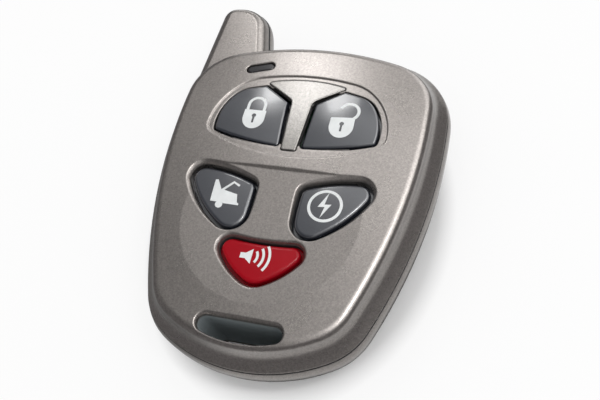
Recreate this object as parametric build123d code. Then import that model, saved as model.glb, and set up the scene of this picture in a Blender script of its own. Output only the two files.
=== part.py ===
from build123d import *
import os
from math import atan2, copysign, cos, pi, sin, sqrt

# Remote start key fob lying on its back. Millimetres, +Z out of the face, +Y towards the antenna.
# The origin is on the flat back, on the middle line and halfway along the body without its antenna.

# Levels above the back
face_top = 13.45
ceiling = 11.2
parting = 7.9
board_top = 7.3
inner_floor = 1.5
overrun = 1.0

# Housing
body_width = 44.84
body_length = 55.7
wall = 1.5
crown_radius = 320.0
skirt_inset = 2.3
shoulder_radius = 1.3
back_inset = 5.2
groove_height = 0.3
groove_depth = 0.45
tongue_thickness = 0.7
tongue_depth = 0.9
tongue_clearance = 0.1

# Cross rib of the front cover, between the upper pair and the lower keys
rib_y = 3.7
rib_width = 0.8
rib_length = 30.0
rib_bottom = 9.2

# Antenna nub
nub_from_side = 7.48
nub_reach = 8.35
nub_width = 13.72
nub_length = 25.4
nub_top = 10.1
nub_bottom = 1.7
nub_inset = 1.9
nub_wall = 1.3
nub_pocket_inset = 1.8
nub_pocket_top = 9.0
nub_pocket_bottom = 3.0

# Oval pan of the upper pair, and round dish of the lower keys
pan_y = 12.16
pan_width = 28.85
pan_length = 14.71
pan_depth = 0.25
pan_lip_radius = 0.2
dish_y = -5.85
dish_radius = 13.64
dish_depth = 0.6
dish_end_y = 2.33
dish_step_angle = 45.0

# Upper pair of keys. The outline is that of the rim of the hole in the pan.
upper_x = 7.45
upper_y = 11.62
upper_width = 12.29
upper_length = 11.65
upper_rim_width = 0.12
upper_rim_depth = 0.2
upper_gap = 0.34
upper_key_top = 13.3
upper_edge_radius = 0.4
web_relief = 0.35
web_to_trim = 0.25
web_foot_margin = 1.0
web_head_margin = 1.8

# Lower keys. The outlines are those of the rims of the holes in the dish.
lower_x = 8.8
lower_y = -3.45
lower_width = 12.0
lower_length = 11.2
panic_y = -13.03
panic_width = 13.72
panic_length = 7.98
rim_width = 0.4
rim_depth = 0.8
lower_gap = 0.46
lower_key_top = 12.8
lower_edge_radius = 0.6

# Inside of every key
key_dome_radius = 60.0
cap_wall = 1.2
cap_roof = 1.3
flange_overhang = 0.3
flange_thickness = 1.1
flange_play = 0.05
stem_radius = 1.6
key_travel = 0.3

# Trim between the upper keys
trim_y = 12.05
trim_width = 12.6
trim_length = 13.3
trim_below_face = 0.1
trim_depth = 0.85
trim_clearance = 0.1
trim_edge_radius = 0.15
trim_to_rim = 0.02
peg_radius = 0.55
peg_clearance = 0.05
peg_foot_margin = 2.8
peg_head_margin = 2.1

# Window of the status light
lens_x = -8.8
lens_from_end = 7.07
lens_length = 4.6
lens_width = 1.45
lens_angle = 15.0
lens_clearance = 0.1
lens_below_face = 0.15
lens_edge_radius = 0.3
lens_rim_width = 0.12
lens_rim_depth = 0.2
lens_flange = 0.5
lens_flange_thickness = 1.0
lens_to_led = 0.1
pipe_inset = 0.2

# Key ring slot
slot_from_end = 4.6
slot_width = 13.4
slot_length = 3.9
slot_wall = 1.0

# Screws, driven from the back, at places given as shares of the body's width and length
screw_place_shares = [(0.3434, 0.3232), (0.2498, -0.2801)]
screw_shank_radius = 1.0
screw_head_radius = 1.7
screw_head_height = 1.2
screw_seat = 2.6
screw_tip = 10.2
recess_clearance = 0.25
hole_clearance = 0.15
pilot_clearance = 0.03
tip_clearance = 0.15
rear_boss_wall = 0.8
front_boss_radius = 2.1
drive_width = 0.45
drive_length = 2.0
drive_depth = 0.6

# Circuit board and the two posts that carry its sides
board_thickness = 1.0
board_inset = 2.8
board_to_slot = 0.9
tab_width = 2.4
tab_to_coil = 0.6
rest_from_side = 5.0
rest_y = 2.0
rest_radius = 1.2

# Switch under each key
switch_side = 4.8
switch_body = 1.4
switch_plate = 0.2
plate_inset = 0.15
switch_corner = 0.5
terminal_width = 0.7
terminal_reach = 0.7
terminal_thickness = 0.2
terminal_place = 1.4
plunger_radius = 1.0
plunger_clearance = 0.05
plunger_rise = 0.5
plunger_inside = 0.6
plunger_bottom_gap = 0.1

# Coin cell, its cradle and its contacts
cell_y = -3.0
cell_radius = 10.0
cell_thickness = 3.2
cell_step_width = 1.1
cell_step = 0.3
cell_edge = 0.25
cell_to_board = 0.75
cradle_gap = 0.35
cradle_wall = 0.9
cradle_top = 4.6
cradle_opening = 8.0
clip_width = 6.0
clip_thickness = 0.25
clip_gap = 0.1
clip_foot = 1.2
spring_length = 8.0
spring_width = 3.0
spring_thickness = 0.2
spring_curl = 0.2

# Small parts on the board
chip_y = 3.7
chip_length = 5.0
chip_width = 3.9
chip_height = 1.4
chip_corner = 0.3
pin_count = 4
pin_spacing = 1.27
pin_width = 0.4
pin_reach = 1.0
pin_thickness = 0.2
resonator_x = 3.2
resonator_from_end = 6.85
resonator_radius = 2.2
resonator_height = 1.6
resonator_rim = 0.25
resonator_rim_height = 0.3
led_length = 1.6
led_width = 0.8
led_base = 0.3
led_height = 0.6
led_side = 0.15
passive_length = 1.6
passive_width = 0.8
passive_height = 0.5
passive_rows = 3
passive_x = 2.6
passive_y = 12.0
passive_spacing = 2.2

# Antenna wire, which starts in the middle of the nub and leans to its outer side
coil_lean = 1.26
coil_radius = 1.7
coil_wire = 0.3
coil_spacing = 1.8
coil_turns = 5
coil_lead = 2.4

# Corner circles of the outlines, as shares of an outline's width: the place across, the distance from the
# nearer end, with a minus where that is the low end, and the radius. A negative radius is a hollow corner.
# The bridges are the radii between one corner and the next. A bridge without a share is a straight line.
body_corner_shares = [
    (0.246, 0.286, 0.254), (-0.246, 0.286, 0.254), (-0.166, -0.273, 0.226), (0.166, -0.273, 0.226)]
body_bridge_shares = [1.193, 1.887, 0.546, 1.887]
nub_corner_shares = [
    (0.208, -0.589, 0.292), (-0.141, 0.418, 0.418), (-0.213, 0.211, 0.207), (-0.208, -0.292, 0.292)]
nub_bridge_shares = [None, None, None, None]
pan_corner_shares = [
    (0.210, 0.276, 0.255), (-0.210, 0.276, 0.255), (-0.425, -0.158, 0.075), (0.425, -0.158, 0.075)]
pan_bridge_shares = [1.304, 0.357, 1.03, 0.357]
upper_corner_shares = [
    (0.415, -0.222, 0.075), (0.055, 0.423, 0.382), (-0.070, 0.075, 0.075), (-0.382, 0.277, 0.073),
    (-0.418, -0.075, 0.075)]
upper_bridge_shares = [0.719, None, None, None, 3.177]
lower_corner_shares = [(-0.327, 0.299, 0.173), (-0.213, -0.283, 0.283), (0.283, 0.213, 0.217)]
lower_bridge_shares = [3.43, 1.488, 2.2]
panic_corner_shares = [(0.340, 0.160, 0.160), (-0.340, 0.160, 0.160), (0.0, -0.273, 0.273)]
panic_bridge_shares = [-2.487, 0.961, 0.961]
slot_corner_shares = [(0.380, 0.124, 0.120), (-0.380, 0.124, 0.120)]
slot_bridge_shares = [None, 1.325]
trim_corner_shares = [
    (0.476, 0.075, 0.024), (-0.476, 0.075, 0.024), (-0.229, 0.373, -0.095), (-0.071, -0.024, 0.024),
    (0.071, -0.024, 0.024), (0.229, 0.373, -0.095)]
trim_bridge_shares = [1.98, None, None, None, None, None]

# Side profiles from low to high, as shares of height and of inset
skirt_shares = [
    (0.0, 0.0), (0.11, 0.33), (0.22, 0.59), (0.33, 0.76), (0.47, 0.87), (0.63, 0.92), (1.0, 1.0)]
back_shares = [
    (0.0, 1.0), (0.045, 0.69), (0.15, 0.385), (0.33, 0.145), (0.56, 0.0), (0.785, -0.077), (0.925, -0.05),
    (1.0, 0.0)]
nub_top_shares = [(0.0, 0.0), (0.30, 0.16), (0.60, 0.32), (0.82, 0.52), (0.95, 0.76), (1.0, 1.0)]
nub_back_shares = [(0.0, 1.0), (0.06, 0.72), (0.2, 0.38), (0.45, 0.08), (0.75, -0.1), (1.0, 0.0)]
rim_shares = [(-1.0, -1.0), (-0.62, -0.9), (-0.31, -0.55), (0.0, 0.0), (0.45, 0.9)]


class Corner:
    """A circle that rounds one corner of an outline."""

    def __init__(self, x, y, radius):
        self.centre = Vector(x, y)
        self.radius = radius

    def middle(self, start, end):
        """Point halfway round the circle between two points of the outline."""
        first, last = start - self.centre, end - self.centre
        begin, finish = atan2(first.Y, first.X), atan2(last.Y, last.X)
        if self.radius > 0:
            angle = begin + (finish - begin) % (2 * pi) / 2
        else:
            angle = begin - (begin - finish) % (2 * pi) / 2
        return self.centre + Vector(cos(angle), sin(angle)) * abs(self.radius)


def bridge(first, second, radius):
    """Start, middle and end of the line or arc that leaves one corner circle and meets the next."""
    along = second.centre - first.centre
    span = along.length
    ahead = along.normalized()
    outward = Vector(ahead.Y, -ahead.X)
    if radius is None:
        lean = (first.radius - second.radius) / span
        normal = outward * sqrt(1 - lean**2) + ahead * lean
        return first.centre + normal * first.radius, None, second.centre + normal * second.radius
    reach, far_reach = abs(radius - first.radius), abs(radius - second.radius)
    step = (reach**2 - far_reach**2 + span**2) / (2 * span)
    side = 1 if radius > 0 else -1
    centre = first.centre + ahead * step - outward * sqrt(reach**2 - step**2) * side
    start = centre + (first.centre - centre).normalized() * abs(radius)
    end = centre + (second.centre - centre).normalized() * abs(radius)
    middle = centre + ((start + end) / 2 - centre).normalized() * abs(radius)
    return start, middle, end


class Outline:
    """A closed outline of corner circles joined by tangent lines or arcs, listed anticlockwise."""

    def __init__(self, x, y, width, length, corner_shares, bridge_shares):
        self.x, self.y = x, y
        self.width, self.length = width, length
        self.corner_shares, self.bridge_shares = corner_shares, bridge_shares

    def corner(self, across, from_end, radius):
        """A corner circle, from its shares of the width."""
        x = self.x + across * self.width
        y = self.y + copysign(self.length / 2, from_end) - from_end * self.width
        return Corner(x, y, radius * self.width)

    def face(self, grow=0, z=0):
        """The outline as a face at a height, grown outwards by an amount."""
        corners = [self.corner(*shares) for shares in self.corner_shares]
        for corner in corners:
            corner.radius += grow
        radii = [None if s is None else s * self.width + grow for s in self.bridge_shares]
        following = corners[1:] + corners[:1]
        bridges = [bridge(a, b, r) for a, b, r in zip(corners, following, radii)]
        edges = []
        for corner, before, after in zip(corners, bridges[-1:] + bridges[:-1], bridges):
            arrive, leave = before[2], after[0]
            edges.append(ThreePointArc(arrive, corner.middle(arrive, leave), leave))
            start, middle, end = after
            edges.append(Line(start, end) if middle is None else ThreePointArc(start, middle, end))
        return Pos(0, 0, z) * make_face(edges)

    def prism(self, low, high, grow=0):
        """The outline as a straight solid between two heights."""
        return extrude(self.face(grow, low), high - low)

    def shaped(self, low, high, inset, shares, grow=0):
        """A smooth solid whose side follows a profile of height and inset shares."""
        return loft([self.face(grow - inset * s, low + (high - low) * h) for h, s in shares])


# Places that follow from the sizes above
nub_x = nub_from_side - body_width / 2
nub_y = body_length / 2 + nub_reach - nub_length / 2
lens_y = body_length / 2 - lens_from_end
slot_y = slot_from_end - body_length / 2
resonator_y = body_length / 2 - resonator_from_end
trim_foot = trim_y - trim_length / 2
trim_head = trim_y + trim_length / 2
peg_places = (trim_foot + peg_foot_margin, trim_head - peg_head_margin)
screw_places = [(side * a * body_width, b * body_length) for a, b in screw_place_shares for side in (1, -1)]
rest_x = body_width / 2 - rest_from_side
coil_x = nub_x - coil_lean
coil_start_y = nub_y
board_low_end = slot_y + slot_length / 2 + slot_wall + board_to_slot
board_tab_end = coil_start_y - tab_to_coil

body = Outline(0, 0, body_width, body_length, body_corner_shares, body_bridge_shares)
nub = Outline(nub_x, nub_y, nub_width, nub_length, nub_corner_shares, nub_bridge_shares)
pan = Outline(0, pan_y, pan_width, pan_length, pan_corner_shares, pan_bridge_shares)
upper = Outline(upper_x, upper_y, upper_width, upper_length, upper_corner_shares, upper_bridge_shares)
lower = Outline(lower_x, lower_y, lower_width, lower_length, lower_corner_shares, lower_bridge_shares)
panic = Outline(0, panic_y, panic_width, panic_length, panic_corner_shares, panic_bridge_shares)
slot = Outline(0, slot_y, slot_width, slot_length, slot_corner_shares, slot_bridge_shares)
trim = Outline(0, trim_y, trim_width, trim_length, trim_corner_shares, trim_bridge_shares)

# Levels that follow from the sizes above
board_bottom = board_top - board_thickness
switch_top = board_top + switch_body + switch_plate
plunger_top = switch_top + plunger_rise
plunger_low = switch_top - plunger_inside
flange_top = ceiling - flange_play
flange_bottom = flange_top - flange_thickness
cell_top = board_bottom - cell_to_board
cell_bottom = cell_top - cell_thickness
lens_flange_bottom = ceiling - lens_flange_thickness


def slab(low, high):
    """Everything near the fob between two heights."""
    side = body_width + body_length + nub_length
    return Pos(0, 0, (low + high) / 2) * Box(side, side, high - low)


def rod(x, y, radius, low, high):
    """Upright cylinder between two heights."""
    return Pos(x, y, (low + high) / 2) * Cylinder(radius, high - low)


def block(x, y, size_x, size_y, low, high):
    """Upright box between two heights."""
    return Pos(x, y, (low + high) / 2) * Box(size_x, size_y, high - low)


def ball(x, y, radius, highest):
    """Large sphere given by its highest point, turned so that its poles lie far to the sides."""
    return Pos(x, y, highest - radius) * Rot(90, 0, 0) * Sphere(radius)


def face_height(x, y):
    """Height of the crowned face above the back at a place."""
    return face_top - crown_radius + sqrt(crown_radius**2 - x**2 - y**2)


def dish_height(x, y):
    """Height of the floor of the dish above the back at a place."""
    away = (x**2 + (y - dish_y) ** 2) / dish_radius**2
    return face_height(x, y) - dish_depth * (1 - away)


def face_plane(x, y):
    """Plane that touches the crowned face at a place."""
    point = Vector(x, y, face_height(x, y))
    return Plane(point, (1, 0, 0), point - Vector(0, 0, face_top - crown_radius))


def both_sides(piece):
    """A piece and its mirror image across the middle line."""
    return piece + mirror(piece, about=Plane.YZ)


def strip(points, thickness, width):
    """Bent sheet metal strip. The points lie in the XZ plane and the width runs along Y."""
    line = Polyline(*[(x, z) for x, z in points])
    return extrude(Plane.XZ * trace(line, thickness), width / 2, both=True)


def plateau():
    """Raised front of the housing: flared skirt, steep wall, shoulder and crowned face with its pan."""
    foot = parting + groove_height
    solid = body.shaped(foot, face_top + overrun, skirt_inset, skirt_shares) + body.prism(parting, foot)
    solid = solid & ball(0, 0, crown_radius, face_top)
    solid = fillet(solid.faces().sort_by(Axis.Z)[-1].edges(), shoulder_radius)
    solid = solid - (pan.prism(ceiling, face_top) - ball(0, 0, crown_radius, face_top - pan_depth))
    walls = [wall for wall in solid.faces().filter_by(GeomType.CYLINDER) if wall.center().Z > ceiling]
    return fillet([wall.edges().sort_by(Axis.Z)[-1] for wall in walls], pan_lip_radius)


def dish_cutter():
    """Shallow bowl around the lower keys, cut off by the land below the pan."""
    land = face_height(0, dish_end_y)
    bowl_radius = 1 / (2 * dish_depth / dish_radius**2 - 1 / crown_radius)
    bowl = face_plane(0, dish_y) * Pos(0, 0, bowl_radius - dish_depth) * Rot(90, 0, 0) * Sphere(bowl_radius)
    reach = 4 * dish_radius
    below = Box(reach, reach, reach, align=(Align.CENTER, Align.MAX, Align.CENTER))
    step = Pos(0, dish_end_y, land) * Rot(-dish_step_angle, 0, 0) * below
    return bowl & slab(ceiling, face_top + overrun) & step


def hole_cutter(outline, rim_level, width, depth):
    """Straight hole whose rim is rounded at a height."""
    hole = outline.prism(ceiling - overrun, face_top + overrun, -width)
    rim = loft([outline.face(width * s, rim_level + depth * h) for h, s in rim_shares])
    return hole + rim


def trim_pocket():
    """Pocket in the pan that the trim lies in, with a floor that follows the crown."""
    return trim.prism(ceiling, face_top, trim_clearance) - ball(0, 0, crown_radius, face_top - trim_depth)


def web_cutter():
    """Slots that narrow the web under the trim, so that the trim stands proud of its edges."""
    slots = trim.prism(ceiling - overrun, face_top + overrun, web_relief)
    slots = slots - trim.prism(ceiling - overrun, face_top + overrun, -web_to_trim)
    low, high = trim_foot + web_foot_margin, trim_head - web_head_margin
    return slots & block(0, (low + high) / 2, body_width, high - low, 0, face_top + overrun)


def lens_prism(low, high, grow=0):
    """Oblong outline of the status window as a straight solid between two heights."""
    face = SlotOverall(lens_length + 2 * grow, lens_width + 2 * grow)
    return extrude(Pos(lens_x, lens_y, low) * Rot(0, 0, lens_angle) * face, high - low)


def lens_rim_cutter():
    """Rounded rim of the window's hole, square to the crowned face."""
    place = face_plane(lens_x, lens_y) * Rot(0, 0, lens_angle)
    faces = []
    for height, width in rim_shares:
        grow = 2 * (lens_clearance + lens_rim_width + lens_rim_width * width)
        face = SlotOverall(lens_length + grow, lens_width + grow)
        faces.append(place * Pos(0, 0, lens_rim_depth * height) * face)
    return loft(faces)


def front_cavity():
    """Hollow of the front cover, with a flat ceiling."""
    foot = parting + groove_height
    hollow = body.shaped(foot, face_top + overrun, skirt_inset, skirt_shares, -wall) & slab(foot, ceiling)
    hollow = hollow + body.prism(parting, foot, -wall)
    return hollow + loft([nub.face(-nub_wall, parting), nub.face(-nub_pocket_inset, nub_pocket_top)])


def rear_cavity():
    """Hollow of the rear cover, with a flat floor."""
    hollow = body.shaped(0, parting, back_inset, back_shares, -wall) & slab(inner_floor, parting)
    return hollow + loft([nub.face(-nub_pocket_inset, nub_pocket_bottom), nub.face(-nub_wall, parting)])


def parting_groove():
    """Narrow step round the foot of the front cover, seen as the dark parting line."""
    low, high = parting, parting + groove_height
    kept = body.prism(low, high, -groove_depth) + nub.prism(low, high, -groove_depth)
    return slab(low, high) - kept


def tongue():
    """Locating wall of the front cover that reaches down inside the rear cover."""
    low, high = parting - tongue_depth, parting + tongue_depth
    outside = -wall - tongue_clearance
    ring = body.prism(low, high, outside) - body.prism(low, high, outside - tongue_thickness)
    return ring - nub.prism(low, high) - slot.prism(low, high, slot_wall + tongue_clearance)


def front_inside():
    """Bosses, rib and slot wall under the roof of the front cover."""
    pieces = [rod(x, y, front_boss_radius, board_top, ceiling + overrun) for x, y in screw_places]
    pieces.append(slot.prism(parting, face_top, slot_wall))
    pieces.append(block(0, rib_y, rib_length, rib_width, rib_bottom, ceiling + overrun))
    return pieces


def make_front_cover():
    """Painted front of the housing, with the holes for the keys, the window and the key ring."""
    outer = plateau() + nub.shaped(parting, nub_top, nub_inset, nub_top_shares)
    cover = outer - front_cavity()
    for piece in front_inside():
        cover = cover + (piece & outer)
    cover = cover + tongue()
    pan_floor = face_height(upper_x, upper_y) - pan_depth
    cutters = [
        parting_groove(),
        dish_cutter(),
        both_sides(hole_cutter(upper, pan_floor, upper_rim_width, upper_rim_depth)),
        trim_pocket(),
        web_cutter(),
        both_sides(hole_cutter(lower, dish_height(lower_x, lower_y), rim_width, rim_depth)),
        hole_cutter(panic, dish_height(0, panic_y), rim_width, rim_depth),
        hole_cutter(slot, face_height(0, slot_y), rim_width, rim_depth),
        slot.prism(parting - overrun, face_top, -rim_width),
        lens_prism(parting, face_top, lens_clearance),
        lens_rim_cutter(),
        lens_prism(lens_flange_bottom - lens_clearance, ceiling, lens_flange + lens_clearance),
    ]
    pilot_end = screw_tip + tip_clearance
    for x, y in screw_places:
        cutters.append(rod(x, y, screw_shank_radius + pilot_clearance, parting - overrun, pilot_end))
    for y in peg_places:
        cutters.append(rod(0, y, peg_radius + peg_clearance, ceiling - overrun, face_top))
    for cutter in cutters:
        cover = cover - cutter
    return cover


def cradle():
    """Wall around the cell, open where the clip passes."""
    ring = rod(0, cell_y, cell_radius + cradle_gap + cradle_wall, 0, cradle_top)
    ring = ring - rod(0, cell_y, cell_radius + cradle_gap, inner_floor, cradle_top + overrun)
    opening = block(0, cell_y, 2 * body_width, cradle_opening, inner_floor, cradle_top + overrun)
    return ring - opening


def make_rear_cover():
    """Painted back of the housing, with the cell cradle, the screw bosses and the slot wall."""
    outer = body.shaped(0, parting, back_inset, back_shares)
    outer = outer + nub.shaped(nub_bottom, parting, nub_inset, nub_back_shares)
    boss_radius = screw_head_radius + recess_clearance + rear_boss_wall
    inside = [rod(x, y, boss_radius, 0, board_bottom) for x, y in screw_places]
    inside = inside + [rod(x, rest_y, rest_radius, 0, board_bottom) for x in (rest_x, -rest_x)]
    inside = inside + [slot.prism(0, parting, slot_wall), cradle()]
    cover = outer - rear_cavity()
    for piece in inside:
        cover = cover + (piece & outer)
    cover = cover - slot.prism(-overrun, parting + overrun, -rim_width)
    for x, y in screw_places:
        cover = cover - rod(x, y, screw_head_radius + recess_clearance, -overrun, screw_seat)
        cover = cover - rod(x, y, screw_shank_radius + hole_clearance, 0, board_bottom + overrun)
    return cover


def make_centre_trim():
    """Flared trim that lies in its pocket between the upper keys, held by two pegs."""
    holes = both_sides(upper.prism(0, face_top + overrun, trim_to_rim))
    solid = trim.prism(ceiling, face_top + overrun) - holes
    solid = solid & ball(0, 0, crown_radius, face_top - trim_below_face)
    solid = fillet(solid.faces().sort_by(Axis.Z)[-1].edges(), trim_edge_radius)
    solid = solid - ball(0, 0, crown_radius, face_top - trim_depth)
    for y in peg_places:
        solid = solid + rod(0, y, peg_radius, ceiling, face_height(0, y) - trim_depth / 2)
    return solid


def make_led_lens():
    """Smoked window with a light pipe down to the status light and a flange under the roof."""
    low = board_top + led_base + led_height + lens_to_led
    dome = ball(0, 0, crown_radius, face_top - lens_below_face)
    window = lens_prism(lens_flange_bottom, face_top + overrun) & dome
    window = fillet(window.faces().sort_by(Axis.Z)[-1].edges(), lens_edge_radius)
    flange = lens_prism(lens_flange_bottom, ceiling, lens_flange)
    return window + flange + lens_prism(low, ceiling, -pipe_inset)


def make_button(outline, gap_to_rim, overhang, top, edge_radius):
    """Moulded key: domed cap, flange that stops it under the roof, and a stem to its plunger."""
    x, y = outline.x, outline.y
    dome = ball(x, y, key_dome_radius, top)
    cap = outline.prism(flange_bottom, top + overrun, -gap_to_rim) & dome
    cap = fillet(cap.faces().sort_by(Axis.Z)[-1].edges(), edge_radius)
    button = cap + outline.prism(flange_bottom, flange_top, overhang)
    floor = outline.face(-gap_to_rim, flange_bottom)
    hollow = extrude(offset(floor, -cap_wall), top - cap_roof - flange_bottom)
    return button - hollow + rod(x, y, stem_radius, plunger_top, top - cap_roof)


def make_switch(x, y):
    """Body of a switch with its cover plate, four terminals and the bore of its plunger."""
    high = board_top + switch_body
    base = block(x, y, switch_side, switch_side, board_top, high)
    base = fillet(base.edges().filter_by(Axis.Z), switch_corner)
    side = switch_side - 2 * plate_inset
    plate = block(x, y, side, side, high, switch_top)
    switch = base + fillet(plate.edges().filter_by(Axis.Z), switch_corner)
    length = switch_side + 2 * terminal_reach
    terminal_top = board_top + terminal_thickness
    for place in (terminal_place, -terminal_place):
        switch = switch + block(x, y + place, length, terminal_width, board_top, terminal_top)
    bottom = plunger_low - key_travel - plunger_bottom_gap
    return switch - rod(x, y, plunger_radius + plunger_clearance, bottom, switch_top + overrun)


def make_plunger(x, y):
    """Plunger of a switch, in its bore and against the stem of its key."""
    return rod(x, y, plunger_radius, plunger_low, plunger_top)


def make_circuit_board():
    """Board cut to the inside of the housing, short of the slot and the coil, with holes for the screws."""
    board = body.prism(board_bottom, board_top, -board_inset)
    board = board - block(0, board_low_end - body_length / 2, body_width, body_length, 0, face_top)
    board = board - block(nub_x, board_tab_end + nub_length / 2, nub_width, nub_length, 0, face_top)
    tab_start = screw_places[0][1]
    tab_length = board_tab_end - tab_start
    tab_y = tab_start + tab_length / 2
    board = board + block(coil_x, tab_y, tab_width, tab_length, board_bottom, board_top)
    for x, y in screw_places:
        board = board - rod(x, y, screw_shank_radius + hole_clearance, board_bottom, board_top)
    return board


def make_housing_screws():
    """Four screws whose heads sit deep in the back."""
    screws = []
    for x, y in screw_places:
        head_low = screw_seat - screw_head_height
        screw = rod(x, y, screw_head_radius, head_low, screw_seat)
        screw = screw + rod(x, y, screw_shank_radius, head_low, screw_tip)
        screw = screw - block(x, y, drive_length, drive_width, 0, head_low + drive_depth)
        screws.append(screw - block(x, y, drive_width, drive_length, 0, head_low + drive_depth))
    return Compound(screws)


def make_battery_cell():
    """Coin cell with its narrower negative face towards the board."""
    can = fillet(rod(0, cell_y, cell_radius, cell_bottom, cell_top - cell_step).edges(), cell_edge)
    return can + rod(0, cell_y, cell_radius - cell_step_width, cell_bottom + cell_step, cell_top)


def make_battery_clip():
    """Positive contact: a strap that holds the cell up against the board."""
    side = cell_radius + clip_gap + clip_thickness / 2
    low, high = cell_bottom - clip_thickness / 2, board_bottom - clip_thickness / 2
    half = [(side + clip_foot, high), (side, high), (side, low)]
    points = half + [(-x, z) for x, z in reversed(half)]
    return Pos(0, cell_y, 0) * strip(points, clip_thickness, clip_width)


def make_battery_spring():
    """Negative contact: a leaf that springs down from the board onto the cell."""
    high, low = board_bottom - spring_thickness / 2, cell_top + spring_thickness / 2
    reach = spring_length / 2
    points = [(-reach, high), (-reach / 2, high), (reach / 2, low), (reach, low + spring_curl)]
    return Pos(0, cell_y, 0) * strip(points, spring_thickness, spring_width)


def make_controller_chip():
    """Chip in a plain package with bent pins on two sides."""
    low = board_top + pin_thickness
    package = block(0, chip_y, chip_width, chip_length, low, board_top + chip_height)
    package = chamfer(package.faces().sort_by(Axis.Z)[-1].edges(), chip_corner)
    middle = board_top + chip_height / 2
    foot = board_top + pin_thickness / 2
    half = chip_width / 2
    for row in range(pin_count):
        y = chip_y + (row - (pin_count - 1) / 2) * pin_spacing
        bend = half + pin_reach / 2
        points = [(half + pin_reach, foot), (bend, foot), (bend, middle), (0, middle)]
        pin = Pos(0, y, 0) * strip(points, pin_thickness, pin_width)
        package = package + pin + mirror(pin, about=Plane.YZ)
    return package


def make_radio_resonator():
    """Round metal can with a rim at its foot."""
    can = rod(resonator_x, resonator_y, resonator_radius, board_top, board_top + resonator_height)
    can = fillet(can.faces().sort_by(Axis.Z)[-1].edges(), resonator_rim)
    rim = resonator_radius + resonator_rim
    return can + rod(resonator_x, resonator_y, rim, board_top, board_top + resonator_rim_height)


def make_status_led():
    """Small light on the board below the window."""
    top = board_top + led_base + led_height
    upright = (Align.CENTER, Align.CENTER, Align.MIN)
    base = Box(led_length, led_width, led_base, align=upright)
    light = Box(led_length - led_width, led_width - 2 * led_side, top - board_top, align=upright)
    return Pos(lens_x, lens_y, board_top) * Rot(0, 0, lens_angle) * (base + light)


def make_small_components():
    """Two columns of passive parts on the board between the upper switches."""
    parts = []
    for x in (passive_x, -passive_x):
        for row in range(passive_rows):
            y = passive_y + row * passive_spacing
            parts.append(block(x, y, passive_length, passive_width, board_top, board_top + passive_height))
    return Compound(parts)


def make_antenna_coil():
    """Helical antenna wire in the nub, with a straight lead back to the board."""
    level = board_top + coil_wire
    helix = Helix(coil_spacing, coil_spacing * coil_turns, coil_radius, (0, 0, 0), (0, 1, 0))
    start = helix @ 0
    wire = sweep(Plane(start, z_dir=helix % 0) * Circle(coil_wire), path=helix)
    lead = Pos(start.X, -coil_lead / 2, start.Z) * Rot(90, 0, 0) * Cylinder(coil_wire, coil_lead)
    coil = wire + lead + Pos(start.X, start.Y, start.Z) * Sphere(coil_wire)
    return Pos(coil_x - start.X, coil_start_y, level - start.Z) * coil


def make_parts():
    """Every sub-part under its node's name."""
    parts = {
        "front_cover": make_front_cover(),
        "rear_cover": make_rear_cover(),
        "centre_trim": make_centre_trim(),
        "led_lens": make_led_lens(),
        "circuit_board": make_circuit_board(),
        "status_led": make_status_led(),
        "controller_chip": make_controller_chip(),
        "radio_resonator": make_radio_resonator(),
        "small_components": make_small_components(),
        "battery_cell": make_battery_cell(),
        "battery_clip": make_battery_clip(),
        "battery_spring": make_battery_spring(),
        "antenna_coil": make_antenna_coil(),
        "housing_screws": make_housing_screws(),
    }
    upper_to_rim = upper_rim_width + upper_gap
    lower_to_rim = rim_width + lower_gap
    upper_overhang = flange_overhang - upper_rim_width
    lower_overhang = flange_overhang - rim_width
    unlock = make_button(upper, upper_to_rim, upper_overhang, upper_key_top, upper_edge_radius)
    start = make_button(lower, lower_to_rim, lower_overhang, lower_key_top, lower_edge_radius)
    alarm = make_button(panic, lower_to_rim, lower_overhang, lower_key_top, lower_edge_radius)
    parts["unlock_button"] = unlock
    parts["lock_button"] = mirror(unlock, about=Plane.YZ)
    parts["start_button"] = start
    parts["trunk_button"] = mirror(start, about=Plane.YZ)
    parts["panic_button"] = alarm
    places = {
        "lock": (-upper_x, upper_y),
        "unlock": (upper_x, upper_y),
        "trunk": (-lower_x, lower_y),
        "start": (lower_x, lower_y),
        "panic": (0, panic_y),
    }
    for name, (x, y) in places.items():
        parts[name + "_switch"] = make_switch(x, y)
        parts[name + "_plunger"] = make_plunger(x, y)
    return parts


if __name__ == "__main__":
    os.makedirs("parts", exist_ok=True)
    for name, solid in make_parts().items():
        export_step(solid, f"parts/{name}.step")
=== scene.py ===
from math import cos, pi, radians, sin

import bmesh
import bpy
from bpy.props import FloatProperty, FloatVectorProperty, PointerProperty
from mathutils import Matrix, Vector
from mathutils.bvhtree import BVHTree


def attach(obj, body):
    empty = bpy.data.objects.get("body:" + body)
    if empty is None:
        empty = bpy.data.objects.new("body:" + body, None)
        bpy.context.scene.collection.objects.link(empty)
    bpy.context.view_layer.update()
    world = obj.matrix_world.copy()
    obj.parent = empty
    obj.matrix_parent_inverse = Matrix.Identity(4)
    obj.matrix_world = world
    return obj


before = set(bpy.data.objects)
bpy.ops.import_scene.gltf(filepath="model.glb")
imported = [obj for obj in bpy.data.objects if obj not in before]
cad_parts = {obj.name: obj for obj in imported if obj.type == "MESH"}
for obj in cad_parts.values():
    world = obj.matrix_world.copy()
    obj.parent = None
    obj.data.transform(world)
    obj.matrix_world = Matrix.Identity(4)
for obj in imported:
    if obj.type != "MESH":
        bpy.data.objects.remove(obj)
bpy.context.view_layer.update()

bl_info = {
    "name": "Remote key fob finish",
    "version": (1, 0, 0),
    "blender": (4, 5, 0),
    "location": "View3D > Sidebar > Key fob",
    "description": "Dresses a remote start key fob in paint, lacquer, print and light",
    "category": "Object",
}

MM = 0.001
KEYS = ("lock", "unlock", "trunk", "start", "panic")


# Nodes and wires

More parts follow.
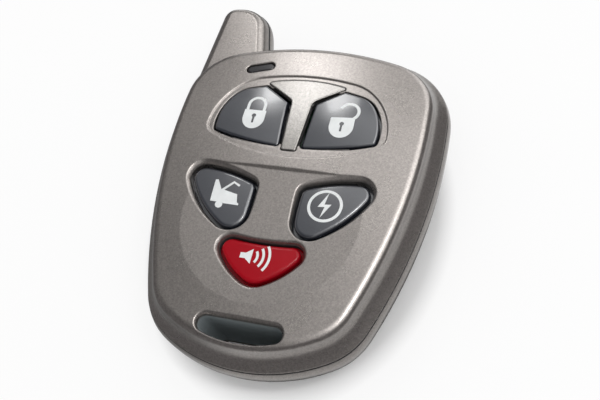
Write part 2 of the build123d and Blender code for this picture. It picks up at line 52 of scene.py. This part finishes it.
class Wire:
    """A number, colour, direction or shader in a node tree. Numbers take part in plain arithmetic."""

    def __init__(self, board, socket):
        self.board = board
        self.socket = socket

    def _with(self, operation, first, second=0.0):
        return self.board.node("Math", {"operation": operation}, {0: first, 1: second})

    def __add__(self, other):
        return self._with("ADD", self, other)

    __radd__ = __add__

    def __sub__(self, other):
        return self._with("SUBTRACT", self, other)

    def __rsub__(self, other):
        return self._with("SUBTRACT", other, self)

    def __mul__(self, other):
        return self._with("MULTIPLY", self, other)

    __rmul__ = __mul__

    def __truediv__(self, other):
        return self._with("DIVIDE", self, other)

    def __pow__(self, other):
        return self._with("POWER", self, other)

    def __lt__(self, other):
        return self._with("LESS_THAN", self, other)

    def __gt__(self, other):
        return self._with("GREATER_THAN", self, other)

    def __abs__(self):
        return self._with("ABSOLUTE", self)

    def clip(self):
        """The value held between nothing and one."""
        return self.board.node("Clamp", {}, {"Value": self})


class Board:
    """A node tree under construction."""

    def __init__(self, tree):
        self.tree = tree

    def join(self, target, value):
        """Puts a value on a socket, or a link where the value comes from another node."""
        if isinstance(value, Wire):
            self.tree.links.new(value.socket, target)
        elif isinstance(value, tuple) and target.type == "RGBA":
            target.default_value = (*value, 1.0)
        else:
            target.default_value = value

    def node(self, kind, settings, sockets, output=0):
        """Adds a node: its settings first, then the values or links of its sockets."""
        made = self.tree.nodes.new("ShaderNode" + kind)
        for key, value in settings.items():
            setattr(made, key, value)
        for key, value in sockets.items():
            self.join(made.inputs[key], value)
        return Wire(self, made.outputs[output])

    def ray(self, kind):
        """One for the rays of a kind: Camera, Glossy or Transmission."""
        return self.node("LightPath", {}, {}, f"Is {kind} Ray")


class Finish(Board):
    """A material under construction: its nodes, its shader and its place in space."""

    def __init__(self, name, **shader):
        self.material = bpy.data.materials.new(name)
        self.material.use_nodes = True
        super().__init__(self.material.node_tree)
        self.shader = self.tree.nodes["Principled BSDF"]
        for socket, value in shader.items():
            self.set(socket.replace("_", " ").title().replace("Ior", "IOR"), value)

    def set(self, socket, value):
        """Puts a value or a link on a socket of the shader."""
        self.join(self.shader.inputs[socket], value)

    def place(self):
        """Position on the piece at rest, in metres."""
        return self.node("TexCoord", {}, {}, "Object")

    def millimetres(self):
        """The three coordinates of the position, in millimetres."""
        return [self.node("SeparateXYZ", {}, {0: self.place()}, axis) / MM for axis in "XYZ"]

    def noise(self, grain_mm, detail=2.0):
        """Soft random pattern with a grain of the given size."""
        sockets = {"Vector": self.place(), "Scale": 1.0 / (grain_mm * MM), "Detail": detail}
        return self.node("TexNoise", {}, sockets)

    def cells(self, size_mm):
        """Cells of the given size, each with a random shade of its own."""
        sockets = {"Vector": self.place(), "Scale": 1.0 / (size_mm * MM)}
        colours = self.node("TexVoronoi", {}, sockets, "Color")
        return self.node("SeparateColor", {}, {0: colours})

    def blend(self, amount, first, second):
        """A colour between two, by an amount."""
        sockets = {"Factor": amount, 6: first, 7: second}
        return self.node("Mix", {"data_type": "RGBA"}, sockets, 2)

    def bump(self, height, depth_mm, strength, soft_mm=0.0):
        """Relief of the given depth in the surface, on edges softened to the given radius."""
        sockets = {"Strength": strength, "Distance": depth_mm * MM, "Height": height}
        if soft_mm:
            sockets["Normal"] = self.node("Bevel", {"samples": 8}, {"Radius": soft_mm * MM})
        self.set("Normal", self.node("Bump", {}, sockets))


def ramp(value, start, length):
    """Nothing up to the start, and one from the length beyond it."""
    return ((value - start) / length).clip()


def shades(colour, darker, lighter):
    """A colour made darker, and made lighter, by shares of itself."""
    return [tuple(min(1.0, part * factor) for part in colour) for factor in (1.0 - darker, 1.0 + lighter)]


# What a user would change, as it stands in the sidebar

def colour_property(name, description, default):
    """A colour."""
    return FloatVectorProperty(name=name, description=description, subtype="COLOR", default=default,
                               min=0.0, max=1.0)


def share_property(name, description, default):
    """A share from nothing to one."""
    return FloatProperty(name=name, description=description, subtype="FACTOR", default=default,
                         min=0.0, max=1.0)


def power_property(name, description, default):
    """The power of a lamp, in watts."""
    return FloatProperty(name=name, description=description, unit="POWER", default=default, min=0.0)


def glow_property(name, description, default):
    """The strength of a glow."""
    return FloatProperty(name=name, description=description, default=default, min=0.0)


class FobPaint(bpy.types.PropertyGroup):
    """Paint of the two covers, and what they show where it ends: unpainted plastic partly, painted shade
    partly.
    """

    colour: colour_property("Colour", "Colour of the paint", (0.212, 0.195, 0.183))
    # The dark inside the key holes and the groove is unpainted plastic partly, painted shade partly.
    bare_and_shade: colour_property("Bare plastic", "Colour inside the key holes", (0.012, 0.012, 0.013))
    # The grey of the slot walls is unpainted plastic partly, painted shade partly.
    slot_wall_and_shade: colour_property("Slot walls", "Colour inside the key ring slot", (0.2, 0.23, 0.24))
    roughness: share_property("Roughness", "Spread of the paint's reflections", 0.28)
    metallic: share_property("Metallic", "How metallic the flake looks", 0.85)
    coat: share_property("Coat", "Strength of the clear coat", 0.35)
    flake: share_property("Flake", "Contrast of the flake", 0.35)


class FobTrim(bpy.types.PropertyGroup):
    """Paint of the trim between the upper keys."""

    colour: colour_property("Trim", "Colour of the trim's paint", (0.155, 0.147, 0.138))
    roughness: share_property("Trim roughness", "Spread of the trim's reflections", 0.24)
    metallic: share_property("Trim metallic", "How metallic the trim's flake looks", 0.85)
    coat: share_property("Trim coat", "Strength of the trim's clear coat", 0.5)
    flake: share_property("Trim flake", "Contrast of the trim's flake", 0.3)


class FobKeys(bpy.types.PropertyGroup):
    """Lacquer and print of the keys, and the window beside them."""

    grey: colour_property("Grey keys", "Colour of the four upper keys", (0.020, 0.023, 0.032))
    red: colour_property("Red key", "Colour of the lowest key", (0.33, 0.002, 0.009))
    window: colour_property("Window", "Colour of the smoked window", (0.012, 0.011, 0.013))
    ink: colour_property("Print", "Colour of the symbols", (0.70, 0.72, 0.72))
    ink_height: FloatProperty(name="Print height", description="How far the print stands up",
                              subtype="DISTANCE", default=0.03 * MM)
    ink_step: FloatProperty(name="Print step", description="Size of the facets that follow the dome",
                            subtype="DISTANCE", default=0.35 * MM)


class FobInside(bpy.types.PropertyGroup):
    """Colours of the inner parts and of the screws."""

    solder_mask: colour_property("Solder mask", "Lacquer of the circuit board", (0.012, 0.09, 0.035))
    moulding: colour_property("Mouldings", "Chip and plungers", (0.02, 0.02, 0.021))
    ceramic: colour_property("Ceramic", "Small components", (0.42, 0.33, 0.24))
    resin: colour_property("Resin", "Status light", (0.7, 0.1, 0.08))
    steel: colour_property("Steel", "Battery, its contacts, switches and resonator", (0.62, 0.60, 0.56))
    copper: colour_property("Copper", "Antenna coil", (0.72, 0.36, 0.20))
    screws: colour_property("Screws", "Blackened steel of the screws", (0.10, 0.10, 0.11))


class FobStage(bpy.types.PropertyGroup):
    """Floor, lamps and what the gloss shows of the studio."""

    floor: colour_property("Floor", "Colour of the floor", (0.92, 0.92, 0.92))
    white_floor: share_property("White floor", "How far the floor is plain white", 0.8)
    sky: share_property("Sky", "Soft light from all round", 0.85)
    back_power: power_property("Back lamp", "Power of the lamp behind", 0.12)
    side_power: power_property("Side lamp", "Power of the lamp at the right", 0.25)
    tent: glow_property("Tent", "Brightness of the tent in reflections", 1.2)
    window: glow_property("Bright window", "Glow of the window behind, at the left", 4.3)
    strip: glow_property("Bright strip", "Glow of the strip at the right", 14.0)
    horizon: glow_property("Horizon", "Glow low down at the back", 2.4)


class FobSettings(bpy.types.PropertyGroup):
    """Everything that a user would change."""

    paint: PointerProperty(type=FobPaint)
    trim: PointerProperty(type=FobTrim)
    keys: PointerProperty(type=FobKeys)
    inside: PointerProperty(type=FobInside)
    stage: PointerProperty(type=FobStage)


def settings():
    """The values in the sidebar."""
    return bpy.context.scene.key_fob


# Finishes

def wear(material, *nodes):
    """Gives CAD nodes a material."""
    for node in nodes:
        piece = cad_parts[node]
        piece.data.materials.clear()
        piece.data.materials.append(material)


def paint(name, look):
    """Metallic paint with fine flake under a satin coat, and the colour it shows."""
    board = Finish(name, roughness=look.roughness, coat_roughness=0.16, coat_ior=1.5)
    spark = board.cells(size_mm=0.16)
    cloud = board.noise(grain_mm=0.35)
    cloudiness, spread = 0.6, 0.38
    shade = ((spark - 0.5) * look.flake + (cloud - 0.5) * cloudiness + 0.5).clip()
    lit = board.blend(shade, *shades(look.colour, spread, spread))
    board.bump(board.noise(grain_mm=0.22, detail=1.0), depth_mm=0.006, strength=0.1, soft_mm=0.3)
    return board, lit


def lacquer(name, colour, roughness, coat, shine=0.5):
    """Glossy moulded plastic with a faint texture and slight unevenness in its shine."""
    board = Finish(name, coat_weight=coat, coat_roughness=0.08, coat_ior=1.5, specular_ior_level=shine)
    cloud = board.noise(grain_mm=2.5, detail=3.0)
    spread, uneven = 0.14, 0.08
    board.set("Base Color", board.blend(cloud, *shades(colour, spread, spread)))
    board.set("Roughness", board.noise(grain_mm=1.1) * uneven + (roughness - uneven / 2))
    board.bump(board.noise(grain_mm=0.35, detail=1.0), depth_mm=0.004, strength=0.25)
    return board.material


def metal(name, colour, roughness, grain_mm):
    """Bright metal with a fine drawn grain along X."""
    board = Finish(name, metallic=1.0)
    stretch, darker, lighter, uneven = 12.0, 0.2, 0.1, 0.18
    drawn = board.node("Mapping", {}, {0: board.place(), "Scale": (1.0, stretch, stretch)})
    streak = board.node("TexNoise", {}, {"Vector": drawn, "Scale": 1.0 / (grain_mm * MM)})
    board.set("Base Color", board.blend(streak, *shades(colour, darker, lighter)))
    board.set("Roughness", streak * uneven + (roughness - uneven / 2))
    board.bump(streak, depth_mm=0.01, strength=0.2)
    return board.material


# The covers in millimetres, as the masks of their paint follow them. A depth is measured from the domed face,
# # and gives where the paint starts to end in unpainted plastic and painted shade, and over what length it
# does.
FACE_TOP = 13.45
FACE_RADIUS = 320.0
DISH_Y, DISH_REACH, DISH_DEPTH = -5.85, 13.78, (0.95, 0.5)
PAN_HALF_WIDTH, PAN_FOOT, PAN_HEAD, PAN_DEPTH = 14.2, 5.0, 18.8, (0.42, 0.2)
SLOT_Y, SLOT_HALF_STRAIGHT, SLOT_REACH, SLOT_DEPTH = -23.25, 4.75, 1.76, (0.6, 0.5)
SLOT_FOOT = 0.9
GROOVE_FOOT, GROOVE_HEAD = 7.87, 8.22
REAR_FLOOR, REAR_HOLLOW = 1.45, 14.0


def within(x, y, middle_y, radius):
    """One within a radius of a point on the middle line."""
    return x * x + (y - middle_y) * (y - middle_y) < radius * radius


def in_slot(x, y):
    """One between the walls of the key ring slot, which has round ends."""
    farthest = 4.0
    beyond_straight = ramp(abs(x), SLOT_HALF_STRAIGHT, farthest) * farthest
    return within(beyond_straight, y, SLOT_Y, SLOT_REACH)


def inside_front(board):
    """Masks of painted shade and unpainted plastic on the front cover's walls below its rims and in its
    groove, and of the slot.
    """
    x, y, z = board.millimetres()
    deep = FACE_TOP - (x * x + y * y) / (2.0 * FACE_RADIUS) - z
    dish = within(x, y, DISH_Y, DISH_REACH)
    pan = (abs(x) < PAN_HALF_WIDTH) * (y > PAN_FOOT) * (y < PAN_HEAD)
    slot = in_slot(x, y)
    # Painted shade: the walls grow dark with depth below the rims of the dish, pan and slot.
    walls = dish * ramp(deep, *DISH_DEPTH) + pan * ramp(deep, *PAN_DEPTH) + slot * ramp(deep, *SLOT_DEPTH)
    # Painted shade: the groove and all below it go dark.
    return (walls + (z < GROOVE_HEAD)).clip(), slot


def inside_rear(board):
    """Masks of unpainted plastic and painted shade on the rear cover's hidden floor, its rim in the groove
    and its slot walls, and of the slot.
    """
    x, y, z = board.millimetres()
    hollow = (z > REAR_FLOOR) * within(x, y, 0.0, REAR_HOLLOW)
    slot = in_slot(x, y)
    # Painted shade: the slot walls and the rim in the groove go dark.
    return (slot * (z > SLOT_FOOT) + hollow + (z > GROOVE_FOOT)).clip(), slot


def painted_cover(name, look, holes):
    """Paint that stops where a cover turns into the dark of its holes, slot and groove, which is unpainted
    plastic partly and painted shade partly.
    """
    board, lit = paint(name, look)
    bare_and_shade, slot = holes(board)
    uneven, bare_roughness = 0.06, 0.9
    smooth = board.noise(grain_mm=6.0) * uneven + (look.roughness - uneven / 2)
    # Painted shade with unpainted plastic: near black in the holes and groove, grey on the slot walls.
    plastic = board.blend(slot, tuple(look.bare_and_shade), tuple(look.slot_wall_and_shade))
    board.set("Base Color", board.blend(bare_and_shade, lit, plastic))
    board.set("Metallic", (1.0 - bare_and_shade) * look.metallic)
    board.set("Coat Weight", (1.0 - bare_and_shade) * look.coat)
    board.set("Roughness", bare_and_shade * (bare_roughness - look.roughness) + smooth)
    return board.material


class FOB_OT_covers(bpy.types.Operator):
    """Paint the two covers"""

    bl_idname = "fob.covers"
    bl_label = "Covers"

    def execute(self, context):
        look = settings().paint
        wear(painted_cover("front_paint", look, inside_front), "front_cover")
        wear(painted_cover("rear_paint", look, inside_rear), "rear_cover")
        return {"FINISHED"}


class FOB_OT_trim(bpy.types.Operator):
    """Paint the trim between the upper keys"""

    bl_idname = "fob.trim"
    bl_label = "Centre trim"

    def execute(self, context):
        look = settings().trim
        board, lit = paint("trim_paint", look)
        board.set("Base Color", lit)
        board.set("Metallic", look.metallic)
        board.set("Coat Weight", look.coat)
        wear(board.material, "centre_trim")
        return {"FINISHED"}


class FOB_OT_window(bpy.types.Operator):
    """Smoke the window over the status light"""

    bl_idname = "fob.window"
    bl_label = "Status window"

    def execute(self, context):
        look = settings().keys
        wear(lacquer("smoked_window", look.window, roughness=0.18, coat=0.3, shine=0.25), "led_lens")
        return {"FINISHED"}


class FOB_OT_keys(bpy.types.Operator):
    """Lacquer the keys"""

    bl_idname = "fob.keys"
    bl_label = "Keys"

    def execute(self, context):
        look = settings().keys
        grey = lacquer("grey_lacquer", look.grey, roughness=0.21, coat=0.9, shine=0.55)
        red = lacquer("red_lacquer", look.red, roughness=0.2, coat=0.1, shine=0.08)
        for key in KEYS:
            wear(red if key == "panic" else grey, key + "_button")
        return {"FINISHED"}


class FOB_OT_inside(bpy.types.Operator):
    """Finish the parts inside the housing"""

    bl_idname = "fob.inside"
    bl_label = "Inner parts"

    def execute(self, context):
        look = settings().inside
        plungers = [key + "_plunger" for key in KEYS]
        switches = [key + "_switch" for key in KEYS]
        wear(lacquer("solder_mask", look.solder_mask, roughness=0.35, coat=0.3), "circuit_board")
        wear(lacquer("dark_moulding", look.moulding, roughness=0.45, coat=0.0), "controller_chip", *plungers)
        wear(lacquer("pale_ceramic", look.ceramic, roughness=0.5, coat=0.0), "small_components")
        wear(lacquer("light_resin", look.resin, roughness=0.2, coat=0.5), "status_led")
        wear(metal("plated_steel", look.steel, roughness=0.32, grain_mm=0.4), "battery_cell",
             "battery_clip", "battery_spring", "radio_resonator", *switches)
        wear(metal("copper", look.copper, roughness=0.3, grain_mm=0.3), "antenna_coil")
        return {"FINISHED"}


class FOB_OT_screws(bpy.types.Operator):
    """Blacken the screws in the back"""

    bl_idname = "fob.screws"
    bl_label = "Screws"

    def execute(self, context):
        look = settings().inside
        wear(metal("black_steel", look.screws, roughness=0.38, grain_mm=0.25), "housing_screws")
        return {"FINISHED"}


# Print on the keys: outlines in millimetres, seen from above

WELD = 1e-7    # metres within which corners of an outline are one


def arc(x, y, radius, start, end, count=24):
    """Points round part of a circle, angles in degrees."""
    angles = [radians(start + (end - start) * i / count) for i in range(count + 1)]
    return [(x + radius * cos(a), y + radius * sin(a)) for a in angles]


def band(x, y, radius, width, start, end):
    """Outline of a curved band."""
    outer = arc(x, y, radius + width / 2, start, end)
    return outer + arc(x, y, radius - width / 2, end, start)


def key_hole(x, y):
    """Round hole with a slot below it, the middle of a padlock."""
    radius, slot_half_width, slot_foot = 0.36, 0.17, 1.35
    return arc(x, y, radius, -60, 240) + [(x - slot_half_width, y - slot_foot),
                                          (x + slot_half_width, y - slot_foot)]


def padlock_body(x, top, width, height):
    """Left side, round foot and right side of a padlock, from its top left corner."""
    half = width / 2
    top_half = half * 0.98
    round_share, steps = 0.58, 24
    side_foot = top - height * (1.0 - round_share)
    foot = [(x - half * cos(pi * i / steps), side_foot - height * round_share * sin(pi * i / steps))
            for i in range(steps + 1)]
    return [(x - top_half, top)] + foot + [(x + top_half, top)]


def closed_padlock():
    """Padlock with its shackle down, for the left upper key."""
    x, top, turn = -7.0, 12.02, 13.0
    shackle, window = ([(x + radius, top)] + arc(x, turn, radius, 0, 180) + [(x - radius, top)]
                       for radius in (1.60, 1.13))
    return [padlock_body(x, top, 3.62, 3.4) + shackle, window, key_hole(x - 0.03, 11.0)]


def open_padlock():
    """Padlock with its shackle swung open, for the right upper key."""
    x, top = 7.28, 12.0
    shackle_x, turn = 8.03, 13.24
    shackle = arc(shackle_x, turn, 1.70, -38, 163) + arc(shackle_x, turn, 1.22, 163, -59)
    return [padlock_body(x, top, 3.84, 3.5) + shackle, key_hole(x, 10.95)]


def car():
    """Small car with its boot open, for the left lower key."""
    wheel = arc(-8.35, -4.88, 0.58, 140, 400, 16)
    return [[(-9.88, -4.45)] + wheel + [
        (-7.77, -4.63), (-5.35, -4.61), (-5.32, -4.38), (-5.66, -4.15), (-5.95, -2.85), (-8.18, -2.39),
        (-6.94, -1.06), (-6.08, -1.52), (-5.90, -1.21), (-7.05, -0.68), (-8.65, -2.35), (-9.61, -0.72),
        (-10.05, -0.78),
    ]]


def bolt_in_ring():
    """Flash inside a ring, for the right lower key."""
    outer, inner = (arc(7.79, -2.94, radius, 0, 345, 46) for radius in (2.64, 2.20))
    flash = [(7.98, -0.77), (6.74, -3.22), (7.78, -3.13), (7.41, -4.95), (8.72, -2.63), (7.68, -2.73)]
    return [outer, inner, flash]


def loudspeaker():
    """Plain loudspeaker with three waves, for the red key."""
    y, box, mouth = -12.35, 0.42, 1.15
    horn = [(-2.7, y - box), (-1.9, y - box), (-0.9, y - mouth),
            (-0.9, y + mouth), (-1.9, y + box), (-2.7, y + box)]
    waves = [band(-1.5, y, radius, 0.38, -36, 36) for radius in (1.45, 2.35, 3.25)]
    return [horn] + waves


def flat_drawing(name, loops):
    """Flat mesh of what lies between outlines."""
    curve = bpy.data.curves.new(name, "CURVE")
    curve.dimensions = "2D"
    curve.fill_mode = "BOTH"
    for loop in loops:
        spline = curve.splines.new("POLY")
        spline.points.add(len(loop) - 1)
        for point, (x, y) in zip(spline.points, loop):
            point.co = (x * MM, y * MM, 0.0, 1.0)
        spline.use_cyclic_u = True
    drawing = bpy.data.objects.new(name + "_drawing", curve)
    bpy.context.scene.collection.objects.link(drawing)
    bpy.context.view_layer.update()
    flat = bpy.data.meshes.new_from_object(drawing.evaluated_get(bpy.context.evaluated_depsgraph_get()))
    bpy.data.objects.remove(drawing)
    bpy.data.curves.remove(curve)
    return flat


def cut_in_steps(layer, step):
    """Cuts a flat layer along a grid, so that it can follow a dome."""
    for axis in (0, 1):
        places = [vert.co[axis] for vert in layer.verts]
        line = min(places) + step
        while line < max(places):
            across = Vector((0, 0, 0))
            across[axis] = 1.0
            geometry = list(layer.verts) + list(layer.edges) + list(layer.faces)
            bmesh.ops.bisect_plane(layer, geom=geometry, plane_co=across * line, plane_no=across)
            line += step


def in_order(layer):
    """Corners and faces of a layer, sorted by their places, because their order differs from run to run."""
    corners = sorted(layer.verts, key=lambda vert: vert.co[:])
    places = [vert.co[:] for vert in corners]
    number = {vert: index for index, vert in enumerate(corners)}
    faces = []
    for face in layer.faces:
        loop = [number[vert] for vert in face.verts]
        first = min(range(len(loop)), key=lambda i: places[loop[i]])
        faces.append(loop[first:] + loop[:first])
    return places, sorted(faces, key=lambda loop: [places[i] for i in loop])


def ink_layer(name, flat, button, height, step):
    """Closed layer from a flat mesh, as far above the top of a key as below it."""
    layer = bmesh.new()
    layer.from_mesh(flat)
    bmesh.ops.remove_doubles(layer, verts=layer.verts, dist=WELD)
    cut_in_steps(layer, step)
    dome = BVHTree.FromObject(button, bpy.context.evaluated_depsgraph_get())
    lower = list(layer.verts)
    raised = bmesh.ops.extrude_face_region(layer, geom=list(layer.faces))["geom"]
    upper = [item for item in raised if isinstance(item, bmesh.types.BMVert)]
    for verts, lift in ((lower, -height), (upper, height)):
        for vert in verts:
            from_above = Vector((vert.co.x, vert.co.y, 1.0))
            vert.co.z = dome.ray_cast(from_above, Vector((0, 0, -1)))[0].z + lift
    bmesh.ops.recalc_face_normals(layer, faces=layer.faces)
    places, faces = in_order(layer)
    layer.free()
    mesh = bpy.data.meshes.new(name)
    mesh.from_pydata(places, [], faces)
    return mesh


def printed(key, loops, material):
    """A symbol as a thin layer of ink that rides on its key."""
    name = key + "_symbol"
    look = settings().keys
    flat = flat_drawing(name, loops)
    mesh = ink_layer(name, flat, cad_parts[key + "_button"], look.ink_height, look.ink_step)
    bpy.data.meshes.remove(flat)
    mesh.materials.append(material)
    piece = bpy.data.objects.new(name, mesh)
    bpy.context.scene.collection.objects.link(piece)
    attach(piece, key + "_key")


class FOB_OT_symbols(bpy.types.Operator):
    """Print the symbols on the keys"""

    bl_idname = "fob.symbols"
    bl_label = "Symbols"

    def execute(self, context):
        ink = lacquer("ink", settings().keys.ink, roughness=0.45, coat=0.1)
        drawings = {"lock": closed_padlock, "unlock": open_padlock, "trunk": car, "start": bolt_in_ring,
                    "panic": loudspeaker}
        for key, drawing in drawings.items():
            printed(key, drawing(), ink)
        return {"FINISHED"}


# Stage, in metres where no other unit is given. The tent and the card show in reflections alone. The camera
# was solved from the photograph.

FLOOR_REACH = 3.0
FOOTPRINT = (23.0, 28.5)                  # half width and half length of the fob, in millimetres
TENT_RADIUS = 500.0                       # millimetres
TENT_PEAK = 20.0                          # glow that the tent's colour gives as white
CARD_RADIUS, CARD_WIDTH_SHARE, CARD_HEIGHT = 0.055, 0.9, 0.03
CAMERA_LENS = 45.71                       # focal length in millimetres
CAMERA_PLACE = (35.96, -49.70, 108.71)    # millimetres
CAMERA_RIGHT = (0.95019467, 0.2388764, -0.20017033)
CAMERA_DOWN = (0.1206149, -0.87408773, -0.47055573)
CAMERA_AHEAD = (-0.28737108, 0.42297602, -0.85936555)


def lamp(name, place, target, size, power):
    """Rectangular soft lamp that points at a target, with its power in watts."""
    light = bpy.data.lights.new(name, "AREA")
    light.shape = "RECTANGLE"
    light.size, light.size_y = size
    light.energy = power
    lit = bpy.data.objects.new(name, light)
    lit.location = place
    lit.rotation_euler = (Vector(target) - Vector(place)).to_track_quat("-Z", "Y").to_euler()
    bpy.context.scene.collection.objects.link(lit)


def floor_material(look):
    """White floor that keeps the shadow of the object. Gloss sees a painted bright ring of it round the
    object, and painted shade within, beyond and at the left.
    """
    board = Finish("floor", roughness=0.9, specular_ior_level=0.0)
    mirrored = board.ray("Glossy")
    looked_at = (board.ray("Camera") + board.ray("Transmission")).clip()
    x, y = (part / half for part, half in zip(board.millimetres(), FOOTPRINT))
    away = (x * x + y * y) ** 0.5
    near = ramp(away, 0.98, 0.13) * looked_at
    # Painted reflection: a bright ring round the object, dark inside it and dimmer far off.
    ring = ramp(away, 1.0, 0.15) * (1.0 - ramp(away, 1.9, 0.6) * 0.75)
    # Painted shadow: the ring is weaker at the left.
    side = 0.3 + 0.7 * ramp(x, -0.8, 0.6)
    share = (near * look.white_floor + ring * side * mirrored).clip()
    plain = board.blend(board.noise(grain_mm=40.0), *shades(look.floor, 0.01, 0.01))
    # Painted shadow: in gloss the floor is near black wherever the ring doesn't light it.
    board.set("Base Color", board.blend(mirrored, plain, (0.03, 0.03, 0.03)))
    surface = board.node("MixShader", {}, {0: share, 1: Wire(board, board.shader.outputs[0]),
                                           2: board.node("Emission", {}, {})})
    board.join(board.tree.nodes["Material Output"].inputs["Surface"], surface)
    return board.material


def floor(look):
    """Wide floor under the object."""
    mesh = bpy.data.meshes.new("floor")
    corners = [(-FLOOR_REACH, -FLOOR_REACH, 0), (FLOOR_REACH, -FLOOR_REACH, 0),
               (FLOOR_REACH, FLOOR_REACH, 0), (-FLOOR_REACH, FLOOR_REACH, 0)]
    mesh.from_pydata(corners, [], [(0, 1, 2, 3)])
    mesh.materials.append(floor_material(look))
    return bpy.data.objects.new("floor", mesh)


def soft_spot(x, y, centre, size):
    """Soft round glow on the tent, one at its centre and nothing beyond its size."""
    across, along = (x - centre[0]) / size[0], (y - centre[1]) / size[1]
    return (1.0 - across * across - along * along).clip() ** 2


def tent_material(look):
    """Glow of the tent, drawn in shares of its radius: X to the right, Y to the back and Z up."""
    board = Finish("tent", base_color=(0.0, 0.0, 0.0))
    x, y, z = (part / TENT_RADIUS for part in board.millimetres())
    to_right = 0.35 + 1.05 * ramp(x, -0.62, 0.62) ** 1.2
    right_side = 1.6 * ramp(x, 0.0, 0.15)
    to_back = 0.74 + 0.34 * ramp(y, 0.23, 0.14) + 0.24 * ramp(y, 0.42, 0.1)
    dim_back = 1.0 - 0.5 * ramp(y, 0.57, 0.06)
    dim_front = 0.35 + 0.65 * ramp(y, -0.55, 0.5)
    window = soft_spot(x, y, (-0.28, 0.62), (0.12, 0.14)) * look.window
    strip = soft_spot(x, y, (0.47, 0.0), (0.08, 0.6)) * look.strip
    horizon = ramp(y, 0.8, 0.1) * (1.0 - ramp(z, 0.16, 0.08)) * look.horizon
    above_horizon = ramp(z, 0.12, 0.25)
    wall = (to_right * to_back * dim_back + right_side) * dim_front
    glow = (wall + window + strip) * above_horizon + horizon
    board.set("Emission Color", board.blend(glow / TENT_PEAK, (0.0, 0.0, 0.0), (1.0, 1.0, 1.0)))
    board.set("Emission Strength", TENT_PEAK * look.tent)
    return board.material


def tent(look):
    """Studio tent, a sphere round the object."""
    mesh = bpy.data.meshes.new("tent")
    layer = bmesh.new()
    bmesh.ops.create_uvsphere(layer, u_segments=64, v_segments=32, radius=TENT_RADIUS * MM)
    layer.to_mesh(mesh)
    layer.free()
    mesh.shade_smooth()
    mesh.materials.append(tent_material(look))
    return bpy.data.objects.new("tent", mesh)


def dark_card():
    """Low dark wall round the object, open at the back."""
    board = Finish("dark_card", roughness=1.0, specular_ior_level=0.0, base_color=(0.3, 0.29, 0.3))
    rim = arc(0.0, 0.0, CARD_RADIUS, 125, 405, 48)
    verts = [(x * CARD_WIDTH_SHARE, y, z) for x, y in rim for z in (0.0, CARD_HEIGHT)]
    faces = [(i, i + 2, i + 3, i + 1) for i in range(0, len(verts) - 2, 2)]
    mesh = bpy.data.meshes.new("dark_card")
    mesh.from_pydata(verts, [], faces)
    mesh.materials.append(board.material)
    return bpy.data.objects.new("dark_card", mesh)


def only_in_gloss(piece):
    """Shows a piece of the stage in reflections alone."""
    piece.visible_camera = False
    piece.visible_diffuse = False
    piece.visible_transmission = False
    piece.visible_shadow = False


class FOB_OT_stage(bpy.types.Operator):
    """Set the floor, the lamps and the camera"""

    bl_idname = "fob.stage"
    bl_label = "Stage"

    def execute(self, context):
        look = settings().stage
        scene = context.scene
        scene.view_settings.view_transform = "Standard"
        ground, shell, card = floor(look), tent(look), dark_card()
        for piece in (ground, shell, card):
            scene.collection.objects.link(piece)
        only_in_gloss(shell)
        only_in_gloss(card)
        lamp("back_lamp", place=(-0.117, 0.306, 0.306), target=(0.0, 0.01, 0.01), size=(0.075, 0.11),
             power=look.back_power)
        lamp("side_lamp", place=(0.22, 0.0, 0.38), target=(0.0, 0.0, 0.01), size=(0.06, 0.10),
             power=look.side_power)
        self.sky(scene, look.sky)
        self.camera(scene)
        return {"FINISHED"}

    def sky(self, scene, strength):
        """Plain pale sky, white where the camera, gloss or glass looks at it."""
        world = bpy.data.worlds.new("sky")
        scene.world = world
        world.use_nodes = True
        board = Board(world.node_tree)
        seen = (board.ray("Camera") + board.ray("Glossy") + board.ray("Transmission")).clip()
        background = world.node_tree.nodes["Background"]
        board.join(background.inputs["Color"], (1.0, 1.0, 1.0))
        board.join(background.inputs["Strength"], board.node("Mix", {}, {0: seen, 2: strength, 3: 1.0}))

    def camera(self, scene):
        """Camera at the photograph's place, lens and framing."""
        lens = bpy.data.cameras.new("camera")
        lens.sensor_width = 36.0
        lens.lens = CAMERA_LENS
        lens.clip_start = 0.005
        view = bpy.data.objects.new("camera", lens)
        axes = (Vector(CAMERA_RIGHT), -Vector(CAMERA_DOWN), -Vector(CAMERA_AHEAD))
        turn = Matrix(axes).transposed().to_4x4()
        view.matrix_world = Matrix.Translation(Vector(CAMERA_PLACE) * MM) @ turn
        scene.collection.objects.link(view)
        scene.camera = view


class FOB_PT_panel(bpy.types.Panel):
    """Lists the values and the steps that dress the fob"""

    bl_idname = "FOB_PT_panel"
    bl_label = "Key fob"
    bl_space_type = "VIEW_3D"
    bl_region_type = "UI"
    bl_category = "Key fob"

    def draw(self, context):
        look = settings()
        for group in (look.paint, look.trim, look.keys, look.inside, look.stage):
            box = self.layout.box()
            for name in group.__annotations__:
                box.prop(group, name)
        for step in STEPS:
            self.layout.operator(step.bl_idname)


STEPS = (FOB_OT_covers, FOB_OT_trim, FOB_OT_window, FOB_OT_keys, FOB_OT_symbols, FOB_OT_inside, FOB_OT_screws,
         FOB_OT_stage)
CLASSES = (FobPaint, FobTrim, FobKeys, FobInside, FobStage, FobSettings, *STEPS, FOB_PT_panel)


def register():
    for item in CLASSES:
        bpy.utils.register_class(item)
    bpy.types.Scene.key_fob = PointerProperty(type=FobSettings)


def unregister():
    del bpy.types.Scene.key_fob
    for item in reversed(CLASSES):
        bpy.utils.unregister_class(item)


def main():
    register()
    for step in STEPS:
        group, name = step.bl_idname.split(".")
        getattr(getattr(bpy.ops, group), name)()


if __name__ == "__main__":
    main()
